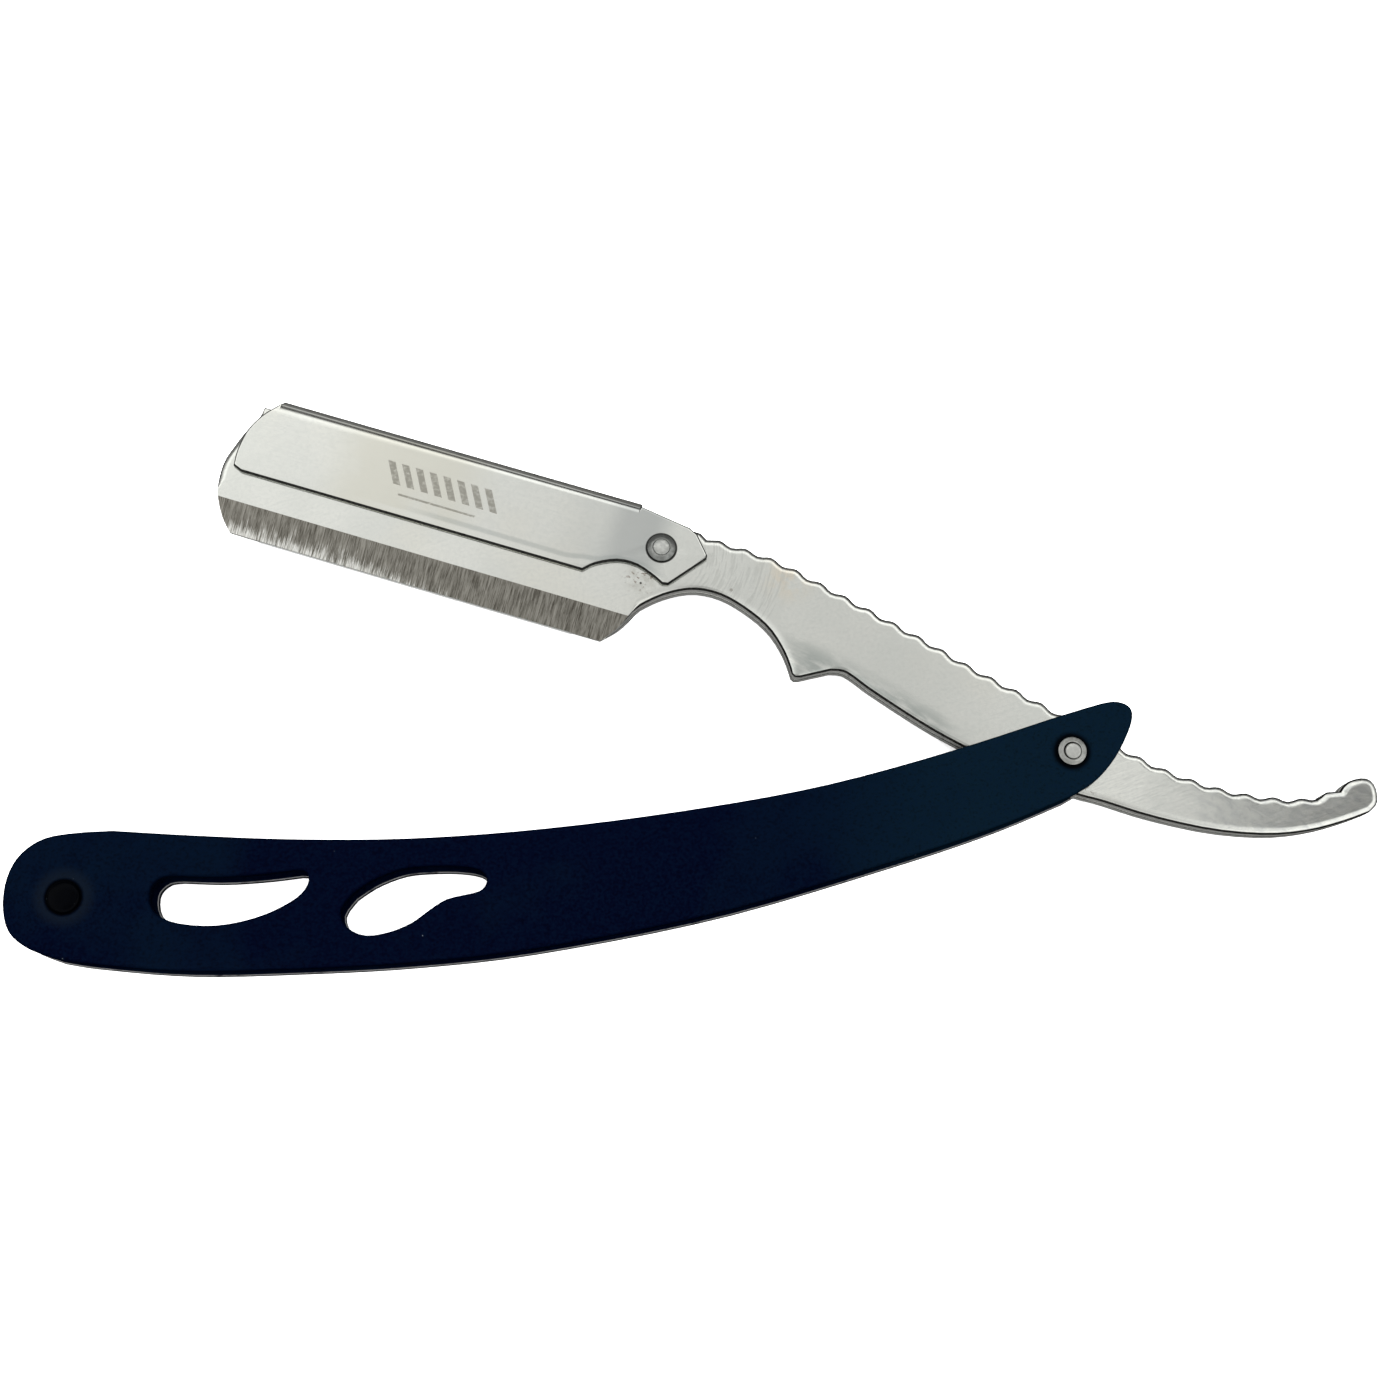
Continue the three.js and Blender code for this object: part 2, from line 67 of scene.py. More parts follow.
PIVOT = node_centre("pivot_pin")
COVER_RIVET = node_centre("cover_pin")
END_RIVET = node_centre("end_rivet")
MIDDLE_Z = PIVOT.z
BLADE_AXIS = Vector(next(j for j in frame["joints"] if j["name"] == "blade_slide")["axis"])
OFF_EDGE = -BLADE_AXIS.normalized()
ALONG_EDGE = Vector((OFF_EDGE.y, -OFF_EDGE.x, 0))
EDGE_ANGLE = math.atan2(ALONG_EDGE.y, ALONG_EDGE.x)


def from_pivot(x_mm, y_mm):
    """A place on the razor, measured from the main pivot with the razor open."""
    return PIVOT + Vector((x_mm, y_mm, 0)) * MM


def edge_reach(node):
    """How far the node's nearest corner to the cutting edge lies along OFF_EDGE."""
    return min(v.co.dot(OFF_EDGE) for v in frame["nodes"][node].data.vertices)


PLATE_EDGE = edge_reach("front_arm_plate")
HOLDER_TOE = from_pivot(-110.4, 28.9)
COVER_EDGE_LEFT = from_pivot(-109.2, 36.9)
COVER_LENGTH = 61.6
STRIP_MIDDLE = from_pivot(-82.7, 35.2)
FINGER_SPUR = from_pivot(-35.3, 12.6)
DARKER_BAND_TURN = -0.50
WARM_SPOT = from_pivot(-36.8, 24.0)
ARCH_RUST = from_pivot(-56.2, 23.4)
HANDLE_RUST = from_pivot(1.3, -5.4)
PINHOLE = from_pivot(-56.4, 22.6)
DENT = from_pivot(-44.4, 21.9)
SCALE_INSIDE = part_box("front_scale")[0].z - MIDDLE_Z


# ---- Node materials ----


class Nodes:
    """A node tree, with short calls for the nodes used here."""

    def __init__(self, tree):
        self.tree = tree

    def link(self, source, target):
        self.tree.links.new(source, target)

    def feed(self, socket, value):
        """Gives a socket a number, a triple or another node's output."""
        if hasattr(value, "is_output"):
            self.link(value, socket)
        else:
            socket.default_value = value

    def math(self, operation, first, second=0.0, third=0.0):
        node = self.tree.nodes.new("ShaderNodeMath")
        node.operation = operation
        for socket, value in zip(node.inputs, (first, second, third)):
            self.feed(socket, value)
        return node.outputs[0]

    def product(self, first, *others):
        for value in others:
            first = self.math("MULTIPLY", first, value)
        return first

    def total(self, first, *others):
        for value in others:
            first = self.math("ADD", first, value)
        return first

    def vector(self, operation, first, second):
        node = self.tree.nodes.new("ShaderNodeVectorMath")
        node.operation = operation
        self.feed(node.inputs[0], first)
        self.feed(node.inputs[1], second)
        return node.outputs["Value" if operation == "DOT_PRODUCT" else "Vector"]

    def separate(self, vector):
        node = self.tree.nodes.new("ShaderNodeSeparateXYZ")
        self.link(vector, node.inputs["Vector"])
        return node.outputs

    def span(self, value, low, high, to_low=0.0, to_high=1.0):
        """Maps low..high smoothly onto to_low..to_high."""
        node = self.tree.nodes.new("ShaderNodeMapRange")
        node.interpolation_type = "SMOOTHSTEP"
        for key, number in zip(("From Min", "From Max", "To Min", "To Max"),
                               (low, high, to_low, to_high)):
            node.inputs[key].default_value = number
        self.link(value, node.inputs["Value"])
        return node.outputs["Result"]

    def hump(self, value, middle, half, soft):
        """1 within half of middle, falling to 0 over soft on both sides."""
        away = self.math("ABSOLUTE", self.math("SUBTRACT", value, middle))
        return self.span(away, half, half + soft, 1, 0)

    def curve(self, value, stops):
        """A smooth curve through (value, level) stops, with levels up to 2."""
        low, high = stops[0][0], stops[-1][0]
        node = self.tree.nodes.new("ShaderNodeValToRGB")
        node.color_ramp.interpolation = "EASE"
        elements = node.color_ramp.elements
        middle = [elements.new((place - low) / (high - low)) for place, level in stops[1:-1]]
        for element, (place, level) in zip([elements[0], *middle, elements[-1]], stops):
            element.color = (level / 2, level / 2, level / 2, 1)
        scaled = self.math("MULTIPLY_ADD", value, 1 / (high - low), -low / (high - low))
        self.link(scaled, node.inputs["Fac"])
        return self.product(node.outputs["Color"], 2.0)

    def mix(self, factor, first, second):
        """Mixes two colours, each a triple or an output."""
        node = self.tree.nodes.new("ShaderNodeMix")
        node.data_type = "RGBA"
        self.feed(node.inputs[0], factor)
        for socket, value in ((node.inputs[6], first), (node.inputs[7], second)):
            self.feed(socket, value if hasattr(value, "is_output") else (*value, 1))
        return node.outputs[2]


class Finish(Nodes):
    """A material, whose patterns lie still on its piece and are measured in millimetres."""

    def __init__(self, name):
        self.material = bpy.data.materials.new(name)
        self.material.use_nodes = True
        super().__init__(self.material.node_tree)
        self.shader = self.tree.nodes["Principled BSDF"]
        self.coordinates = self.tree.nodes.new("ShaderNodeTexCoord").outputs["Object"]

    def place(self, scale=(1, 1, 1), turn=0.0, origin=(0, 0, 0), offset=(0, 0, 0)):
        """Millimetres from origin, turned about Z and then stretched and offset."""
        moved = self.vector("SUBTRACT", self.coordinates, origin)
        turned = self.tree.nodes.new("ShaderNodeMapping")
        turned.inputs["Rotation"].default_value = (0, 0, -turn)
        self.link(moved, turned.inputs["Vector"])
        stretched = self.tree.nodes.new("ShaderNodeMapping")
        stretched.inputs["Scale"].default_value = [s / MM for s in scale]
        stretched.inputs["Location"].default_value = offset
        self.link(turned.outputs["Vector"], stretched.inputs["Vector"])
        return stretched.outputs["Vector"]

    def noise(self, vector, scale=1.0, detail=4.0, roughness=0.55, distortion=0.0):
        node = self.tree.nodes.new("ShaderNodeTexNoise")
        node.inputs["Scale"].default_value = scale
        node.inputs["Detail"].default_value = detail
        node.inputs["Roughness"].default_value = roughness
        node.inputs["Distortion"].default_value = distortion
        self.link(vector, node.inputs["Vector"])
        return node.outputs["Fac"]

    def facing(self, way):
        """How far the surface faces a way on the piece, from -1 to 1."""
        normal = self.tree.nodes.new("ShaderNodeTexCoord").outputs["Normal"]
        return self.vector("DOT_PRODUCT", normal, way)

    def reach(self, origin):
        """Millimetres across the razor from a place on it."""
        across = self.separate(self.place(origin=origin))
        squares = self.total(self.product(across["X"], across["X"]),
                             self.product(across["Y"], across["Y"]))
        return self.math("SQRT", squares)

    def near(self, origin, inner_mm, outer_mm):
        """1 within inner_mm of a place on the razor, falling to 0 at outer_mm."""
        return self.span(self.reach(origin), inner_mm, outer_mm, 1, 0)

    def off_middle(self):
        """Millimetres above or below the razor's middle plane."""
        height = self.separate(self.place())["Z"]
        return self.math("ABSOLUTE", self.math("SUBTRACT", height, MIDDLE_Z / MM))

    def bump(self, height, strength, distance_mm, before=None):
        node = self.tree.nodes.new("ShaderNodeBump")
        node.inputs["Strength"].default_value = strength
        node.inputs["Distance"].default_value = distance_mm * MM
        self.link(height, node.inputs["Height"])
        if before is not None:
            self.link(before, node.inputs["Normal"])
        return node.outputs["Normal"]

    def finish(self, colour, roughness, normal=None, metallic=1.0, **values):
        self.feed(self.shader.inputs["Base Color"], colour)
        self.feed(self.shader.inputs["Roughness"], roughness)
        self.feed(self.shader.inputs["Metallic"], metallic)
        if normal is not None:
            self.link(normal, self.shader.inputs["Normal"])
        for key, value in values.items():
            self.shader.inputs[key.replace("_", " ")].default_value = value
        return self.material


STEEL = (0.875, 0.885, 0.84)
SHADED_STEEL = (0.66, 0.68, 0.65)
CREAM_STEEL = (0.90, 0.87, 0.76)
DARKER_BAND_STEEL = (0.49, 0.525, 0.50)
WARM_STEEL = (0.88, 0.78, 0.62)
MOTTLE_AND_SHADE_STEEL = (0.55, 0.57, 0.58)
RUBBED_STEEL = (0.50, 0.51, 0.48)
RUST = (0.16, 0.09, 0.05)
RUST_SMUDGE = (0.42, 0.40, 0.34)
DENT_SHADE = (0.30, 0.28, 0.24)
HOLE_SHADE = (0.02, 0.02, 0.02)


def hand_polish(n, turn):
    """The colour, roughness and normal of hand-polished stainless sheet: faint clouds, a fine grain
    and short buffing lines."""
    flat = n.place()
    clouds = n.span(n.noise(flat, 0.07, 3), 0.40, 0.66)
    grain = n.noise(flat, 2.2, 3, 0.6)
    lines = n.noise(n.place(scale=(0.30, 4.5, 1), turn=turn), 1.0, 5, 0.7, 0.8)
    colour = n.mix(n.product(clouds, 0.30), STEEL, SHADED_STEEL)
    cream = n.span(n.noise(n.place(offset=(31, 7, 0)), 0.05, 2), 0.50, 0.68)
    colour = n.mix(n.product(cream, 0.28), colour, CREAM_STEEL)
    colour = n.mix(n.span(grain, 0.40, 0.66, 0, 0.20), colour, SHADED_STEEL)
    colour = n.mix(n.span(lines, 0.46, 0.70, 0, 0.26), colour, SHADED_STEEL)
    rough = n.total(n.span(lines, 0.3, 0.7, 0.145, 0.205), n.product(clouds, 0.03))
    normal = n.bump(lines, 0.10, 0.004)
    normal = n.bump(n.noise(flat, 0.10, 2), 0.14, 0.10, normal)
    return colour, rough, normal


def darker_band_mask(n):
    """The mask of a patchy darker band behind the finger spur."""
    along = n.separate(n.place(turn=DARKER_BAND_TURN, origin=FINGER_SPUR))
    patches = n.noise(n.place(scale=(0.25, 0.8, 1), turn=DARKER_BAND_TURN), 1.0, 5)
    return n.product(n.hump(along["X"], 10.0, 8.0, 8.0), n.hump(along["Y"], 0.0, 0.7, 3.0),
                     n.span(patches, 0.28, 0.60))


def rub_arcs(n):
    """The mask of the arcs that the cover's nose rubs on the tang, round the cover's rivet."""
    across = n.separate(n.place(origin=COVER_RIVET))
    reach = n.reach(COVER_RIVET)
    rings = n.tree.nodes.new("ShaderNodeCombineXYZ")
    n.link(n.product(reach, 3.2), rings.inputs["X"])
    n.link(n.product(n.math("ARCTAN2", across["Y"], across["X"]), 3.0), rings.inputs["Y"])
    arcs = n.span(n.noise(rings.outputs["Vector"], 1.0, 2, 0.5), 0.46, 0.60)
    return n.product(arcs, n.hump(reach, 11.0, 4.5, 3.0), n.span(across["X"], 2.0, 6.0))


def with_rust_and_shade(n, colour):
    """The colour with rust pits and a smudge beside the rivets, painted shade in a dent and a pinhole
    painted near black as shade.
    """
    pits = n.noise(n.place(offset=(3, 11, 5)), 1.9, 3, 0.6)
    beside_arch = n.near(ARCH_RUST, 0.6, 3.2)
    under_handle = n.near(HANDLE_RUST, 0.4, 2.6)
    rusty = n.product(n.math("MAXIMUM", beside_arch, under_handle), n.span(pits, 0.56, 0.64))
    smudge = n.product(beside_arch, n.span(n.noise(n.place(), 0.8, 4), 0.42, 0.62))
    colour = n.mix(n.product(rusty, 0.75), colour, RUST)
    # Painted shade in the dent.
    colour = n.mix(n.product(n.near(DENT, 0.12, 0.32), 0.6), colour, DENT_SHADE)
    # The pinhole is painted near black as shade.
    colour = n.mix(n.near(PINHOLE, 0.10, 0.20), colour, HOLE_SHADE)
    return n.mix(n.product(smudge, 0.35), colour, RUST_SMUDGE)


def arm_steel():
    """Polished steel with marks of use (rub arcs on the tang and rust beside the rivets), a darker band
    behind the finger spur, a warm tint on the tang, and a mottled tail that painted shade also darkens."""
    n = Finish("polished_arm_steel")
    colour, rough, normal = hand_polish(n, 0.35)
    colour = n.mix(n.product(darker_band_mask(n), 0.90), colour, DARKER_BAND_STEEL)
    tint = n.product(n.near(WARM_SPOT, 0.5, 5.0), n.span(n.noise(n.place(), 0.5, 4), 0.35, 0.6))
    colour = n.mix(n.product(tint, 0.55), colour, WARM_STEEL)
    # A cloudy mottle beyond the handle, which also darkens the tail as painted shade.
    beyond_handle = n.span(n.separate(n.place(origin=PIVOT))["X"], 14.0, 20.0)
    mottle_and_shade = n.span(n.noise(n.place(scale=(0.7, 1.3, 1), turn=-0.5), 0.8, 5, 0.6, 0.6), 0.38, 0.66)
    colour = n.mix(n.product(beyond_handle, mottle_and_shade, 0.42), colour, MOTTLE_AND_SHADE_STEEL)
    arcs = rub_arcs(n)
    colour = n.mix(n.product(arcs, 0.26), colour, RUBBED_STEEL)
    normal = n.bump(arcs, 0.20, 0.006, normal)
    return n.finish(with_rust_and_shade(n, colour), rough, normal)


def stripe_etching(n):
    """A plain etched strip of slanted bars with a thin line under it, as a mask."""
    level = n.separate(n.place(turn=EDGE_ANGLE, origin=STRIP_MIDDLE))
    slant = n.math("MULTIPLY_ADD", level["Y"], 0.55, level["X"])
    strip = n.product(n.hump(slant, 0, 7.6, 0.12), n.hump(level["Y"], 0, 1.45, 0.12))
    bar_pitch = 1.9
    step = n.math("FRACT", n.math("MULTIPLY_ADD", slant, 1 / bar_pitch, 40.0))
    bars = n.hump(step, 0.5, 0.24, 0.05)
    line = n.product(n.hump(level["X"], 0, 5.2, 0.12), n.hump(level["Y"], -2.75, 0.10, 0.10))
    bitten = n.span(n.noise(n.place(), 2.6, 4, 0.7), 0.30, 0.56, 0.45, 1.0)
    return n.product(n.math("MAXIMUM", n.product(strip, bars), line), bitten)


def painted_edge_reflections(n, level, colour):
    """The colour with a painted dark reflection band and a painted highlight band, both soft, that
    follow the cover's bent lower edge.
    """
    rise = n.curve(level["X"], [(0, 0), (44, 0), (47.4, 0.55), (51, 1.65), (54, 1.75), (57, 1.0),
                                (60, 0)])
    height = n.math("SUBTRACT", level["Y"], rise)
    # Painted reflection: a soft dark band along the lower edge.
    band = n.product(n.hump(height, 1.45, 0.12, 0.42), n.hump(level["X"], 40, 11, 9))
    colour = n.mix(n.product(band, 0.36), colour, (0.36, 0.40, 0.39))
    # Painted highlight: a soft bright band along the lower edge.
    painted_bright_band = n.product(n.hump(height, 0.70, 0.15, 0.4), n.hump(level["X"], 36, 14, 9))
    return n.mix(n.product(painted_bright_band, 0.45), colour, STEEL)


def cover_steel():
    """Polished steel with a cream zone, painted shade that darkens it towards the rivet, a painted dark
    reflection band and a painted highlight band along its lower edge, a painted shadow ring round the
    rivet, the etched strip, and a grained bend at the spine painted dark grey as shade."""
    n = Finish("polished_cover_steel")
    colour, rough, normal = hand_polish(n, EDGE_ANGLE)
    level = n.separate(n.place(turn=EDGE_ANGLE, origin=COVER_EDGE_LEFT))
    cream = n.product(n.hump(level["X"], 21, 5, 8), n.span(n.noise(n.place(), 0.12, 3), 0.20, 0.50))
    colour = n.mix(n.product(cream, 0.80), colour, (0.78, 0.77, 0.68))
    # Painted shade: the cover darkens towards its rivet.
    shade = n.curve(level["X"], [(0, 0), (26, 0.06), (40, 0.12), (47, 0.30), (51, 0.78), (54, 0.80),
                                 (58, 0.0), (COVER_LENGTH + 8, 0)])
    colour = n.mix(n.product(shade, 1.05), colour, (0.54, 0.56, 0.55))
    colour = painted_edge_reflections(n, level, colour)
    # Painted shadow: a near-black ring round the rivet.
    colour = n.mix(n.product(n.near(COVER_RIVET, 2.04, 2.18), 0.97), colour, HOLE_SHADE)
    etched = stripe_etching(n)
    colour = n.mix(n.product(etched, 0.85), colour, (0.30, 0.29, 0.25))
    # Painted shade: the bend at the spine is painted dark grey, rougher and less metallic for the dark
    # reflection it shows, with a grain.
    painted_bend_shade = n.span(n.facing(OFF_EDGE), 0.36, 0.50)
    grain = n.span(n.noise(n.place(scale=(0.8, 3.0, 3.0), turn=EDGE_ANGLE), 1.0, 4, 0.7), 0.3, 0.7)
    colour = n.mix(painted_bend_shade, colour, n.mix(grain, (0.060, 0.060, 0.056), (0.105, 0.105, 0.098)))
    rough = n.total(rough, n.product(etched, 0.16), n.product(painted_bend_shade, 0.30))
    metal = n.math("SUBTRACT", 1.0, n.product(painted_bend_shade, 0.7))
    return n.finish(colour, rough, n.bump(etched, 0.3, -0.02, normal), metallic=metal)


def painted_outline_edge():
    """Steel edge painted dark as shade for the outlines of the plates and the cover, with fine marks,
    and painted a lighter grey near the middle plane as a reflection.
    """
    n = Finish("painted_outline_steel_edge")
    marks = n.noise(n.place(scale=(3, 3, 0.4)), 1.0, 4)
    colour = n.mix(n.span(marks, 0.35, 0.65), (0.020, 0.020, 0.019), (0.050, 0.050, 0.047))
    # Painted reflection: a lighter grey line near the middle plane.
    painted_light_line = n.product(n.span(n.off_middle(), 0.85, 1.05, 1, 0), n.span(marks, 0.20, 0.45, 0.7, 1.0))
    colour = n.mix(painted_light_line, colour, (0.46, 0.46, 0.44))
    metal = n.math("SUBTRACT", 1.0, n.product(painted_light_line, 0.8))
    return n.finish(colour, 0.5, n.bump(marks, 0.3, 0.02), metallic=metal)


def ground_bevel():
    """The coarse ground strip over the cutting edge: uneven streaks square to the edge, dark at the
    top, with a ragged bright zone along the edge that fades towards the heel."""
    n = Finish("ground_bevel_steel")
    level = n.separate(n.place(turn=EDGE_ANGLE))
    up = n.math("SUBTRACT", level["Y"], PLATE_EDGE / MM)
    from_toe = n.math("SUBTRACT", level["X"], HOLDER_TOE.dot(ALONG_EDGE) / MM)
    fine = n.noise(n.place(scale=(6.5, 0.30, 1), turn=EDGE_ANGLE), 1.0, 5, 0.72)
    broad = n.noise(n.place(scale=(1.1, 0.05, 1), turn=EDGE_ANGLE), 1.0, 4, 0.7)
    coarse = n.noise(n.place(scale=(0.25, 0.05, 1), turn=EDGE_ANGLE), 1.0, 2, 0.5)
    fade = n.span(from_toe, 12.0, 42.0, 3.0, 0.45)
    ragged = n.total(n.product(n.total(fine, -0.5), 5.2), n.product(n.total(broad, -0.5), 4.6),
                     n.product(n.total(coarse, -0.5), 2.0))
    height = n.math("SUBTRACT", n.math("SUBTRACT", up, ragged), fade)
    top = n.span(height, -1.3, 1.0)
    streak = n.span(fine, 0.34, 0.66)
    patchy = n.span(broad, 0.34, 0.66)
    dark = n.mix(n.total(n.product(streak, 0.7), n.product(patchy, 0.3)),
                 (0.085, 0.078, 0.062), (0.40, 0.385, 0.345))
    bright = n.mix(streak, (0.46, 0.45, 0.40), (0.98, 0.98, 0.95))
    colour = n.mix(top, bright, dark)
    # Painted highlight: a bright line along the bevel's lower edge.
    painted_lip_highlight = n.span(up, 0.15, 0.5, 1, 0)
    colour = n.mix(n.product(painted_lip_highlight, 0.8), colour, (0.95, 0.95, 0.93))
    return n.finish(colour, n.span(fine, 0.3, 0.7, 0.26, 0.42), n.bump(fine, 0.35, 0.02))


def rivet_steel(name, centre, dull, light):
    """Turned and peened steel with hammer marks and a painted highlight at its crown."""
    n = Finish(name)
    flat = n.place()
    worn = n.span(n.noise(flat, 1.8, 4), 0.35, 0.7)
    colour = n.mix(worn, [0.72 * part for part in dull], dull)
    # Painted highlight: lighter towards the crown.
    crown_highlight = n.product(n.near(centre, 0.5, 1.7), n.span(worn, 0, 1, 0.7, 1.0))
    colour = n.mix(crown_highlight, colour, light)
    normal = n.bump(n.noise(flat, 1.5, 3), 0.55, 0.10)
    return n.finish(colour, n.span(worn, 0, 1, 0.40, 0.28), normal)


def dark_coat(name, roughness, gloss):
    """Navy-black powder coat: a fine orange-peel grain and a little dust, with painted shadow round the
    rivets, a painted lighter ring round the end rivet, and a grey line painted on the inner rims of the
    scales as a highlight. A painted sheen makes it a little lighter at both ends."""
    n = Finish(name)
    flat = n.place()
    grain = n.noise(flat, 3.0, 3, 0.7)
    along = n.separate(n.place(origin=PIVOT))["X"]
    # Painted sheen: the coat is lighter towards both ends.
    sheen_left = n.span(along, -118.0, -60.0, 0.16, 0.0)
    sheen_right = n.span(along, -45.0, -5.0, 0.0, 1.0)
    tone = n.total(sheen_left, sheen_right, n.span(n.noise(flat, 0.06, 3, 0.5), 0.35, 0.65, -0.2, 0.2))
    colour = n.mix(tone, (0.00002, 0.0005, 0.0046), (0.0010, 0.0047, 0.0094))
    colour = n.mix(n.span(grain, 0.42, 0.66, 0, 0.50), colour, (0.0003, 0.0024, 0.0082))
    colour = n.mix(n.span(grain, 0.34, 0.50, 0.50, 0), colour, (0.0, 0.0, 0.0006))
    dust = n.span(n.noise(n.place(offset=(40, 0, 9)), 1.6, 1, 0.3), 0.82, 0.845, 0, 0.5)
    colour = n.mix(dust, colour, (0.10, 0.12, 0.14))
    # A patchy grey line painted on the inner rims of the scales as a highlight.
    tilt = n.math("ABSOLUTE", n.facing((0, 0, 1)))
    inner = SCALE_INSIDE / MM
    rim = n.product(n.span(n.off_middle(), inner + 0.08, inner + 0.14, 1, 0),
                    n.span(tilt, 0.93, 0.99, 1, 0))
    rim_highlight = n.product(rim, n.span(n.noise(flat, 0.35, 4, 0.6), 0.22, 0.50))
    colour = n.mix(rim_highlight, colour, (0.15, 0.15, 0.15))
    # Painted light: a lighter ring round the end rivet, with a painted shadow ring inside it.
    painted_ring_light_and_shadow = n.total(n.near(END_RIVET, 2.6, 4.4), n.product(n.near(END_RIVET, 2.2, 2.6), -1.0))
    colour = n.mix(n.product(painted_ring_light_and_shadow, 0.5), colour, (0.0030, 0.0050, 0.0080))
    # Painted shadow: black rings round the pivot and the end rivet.
    shade = n.math("MAXIMUM", n.near(PIVOT, 2.1, 2.9), n.near(END_RIVET, 2.15, 2.6))
    colour = n.mix(n.product(shade, 0.92), colour, (0.0, 0.0, 0.0))
    normal = n.bump(grain, 0.14, 0.02)
    rough = n.span(rim_highlight, 0, 1, roughness, 0.35)
    return n.finish(colour, rough, normal, metallic=0.0, Specular_IOR_Level=gloss)


def blade_steel():
    """Rolled blade strip with a bright ground band along the sharp edge."""
    n = Finish("blade_strip_steel")
    level = n.place(turn=EDGE_ANGLE)
    up = n.math("SUBTRACT", n.separate(level)["Y"], edge_reach("half_blade") / MM)
    ground = n.span(up, 1.15, 1.35, 1, 0)
    rolled = n.noise(n.place(scale=(0.4, 9, 1), turn=EDGE_ANGLE), 1.0, 4, 0.7)
    body = n.mix(n.span(rolled, 0.3, 0.7), (0.50, 0.51, 0.53), (0.62, 0.63, 0.64))
    colour = n.mix(ground, body, (0.84, 0.85, 0.85))
    return n.finish(colour, n.span(rolled, 0.3, 0.7, 0.2, 0.3), n.bump(rolled, 0.15, 0.004))


def plain_brass():
    n = Finish("washer_brass")
    tarnish = n.span(n.noise(n.place(), 0.8, 4), 0.35, 0.7)
    colour = n.mix(tarnish, (0.72, 0.53, 0.24), (0.46, 0.33, 0.16))
    return n.finish(colour, n.span(tarnish, 0, 1, 0.28, 0.45), n.bump(tarnish, 0.1, 0.01))


def pale_floor():
    n = Finish("pale_studio_floor")
    tone = n.span(n.noise(n.place(), 0.01, 2), 0.3, 0.7)
    colour = n.mix(tone, (0.94, 0.94, 0.94), (0.96, 0.96, 0.96))
    return n.finish(colour, 0.9, metallic=0.0, Specular_IOR_Level=0.0,
                    Emission_Color=(1, 1, 1, 1), Emission_Strength=0.55)


ARM_STEEL = arm_steel()
COVER_STEEL = cover_steel()
BEVEL_STEEL = ground_bevel()
PAINTED_OUTLINE_EDGE = painted_outline_edge()
PIVOT_STEEL = rivet_steel("turned_pivot_steel", PIVOT, (0.46, 0.47, 0.45), (0.66, 0.67, 0.64))
COVER_RIVET_STEEL = rivet_steel("dull_rivet_steel", COVER_RIVET, (0.27, 0.28, 0.27),
                                (0.72, 0.73, 0.70))
STUD_STEEL = rivet_steel("ground_stud_steel", COVER_RIVET, (0.60, 0.61, 0.59), (0.60, 0.61, 0.59))
DARK_COAT = dark_coat("navy_powder_coat", 0.46, 0.010)
GLOSSY_COAT = dark_coat("glossy_navy_coat", 0.22, 0.030)
BLADE_STEEL = blade_steel()
BRASS = plain_brass()


# ---- Pieces made from their nodes, with rounded edges ----

HOLE_RIM = 0.08 * MM
SHORT_RUN = 12 * MM
ROUND_STEPS = 7
SHARP_CORNER = math.radians(32)
SHEET_THICKNESS = 0.6 * MM
ARM_FACE, ARM_BEVEL, ARM_EDGE = 0, 1, 2
COVER_FACE, COVER_EDGE = 0, 1
UPRIGHT = 0.1


def add_object(name, mesh, material_list):
    piece = bpy.data.objects.new(name, mesh)
    scene.collection.objects.link(piece)
    for material in material_list:
        mesh.materials.append(material)
    return piece


def stand_for(piece, node, body):
    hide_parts(node)
    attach(piece, body)
    return piece


def clean_copy(node):
    """The node's mesh with shared corners merged."""
    work = bmesh.new()
    work.from_mesh(frame["nodes"][node].data)
    bmesh.ops.remove_doubles(work, verts=work.verts, dist=0.0005 * MM)
    work.normal_update()
    return work


def rim_of(faces, up):
    """The closed runs of corners round a flat patch of faces, with the patch on their left, and the
    corners that don't stand on a wall."""
    wall_lean = 0.3
    wall_height = 0.2 * MM
    follow = {}
    kept = set()
    for face in faces:
        for corner in face.loops:
            across = [other for other in corner.edge.link_faces if other is not face]
            if across[0] in faces:
                continue
            ends = (corner.vert, corner.link_loop_next.vert)
            follow.setdefault(ends[0], []).append(ends[1])
            heights = [vert.co.z for vert in across[0].verts]
            is_tall = max(heights) - min(heights) > wall_height
            is_wall = abs(across[0].normal.dot(up)) < wall_lean and is_tall
            if not is_wall:
                kept.update(ends)
    runs = []
    for start in list(follow):
        while follow[start]:
            run = [start]
            corner = follow[start].pop()
            while corner is not start:
                run.append(corner)
                corner = follow[corner].pop()
            runs.append(run)
    return runs, kept


def inward_ways(run, up):
    """For each corner of a run, the way that an even inset moves it."""
    ways = []
    for i, vert in enumerate(run):
        before = (vert.co - run[i - 1].co).normalized()
        after = (run[(i + 1) % len(run)].co - vert.co).normalized()
        first, second = up.cross(before), up.cross(after)
        ways.append((first + second) / max(1 + first.dot(second), 0.6))
    return ways


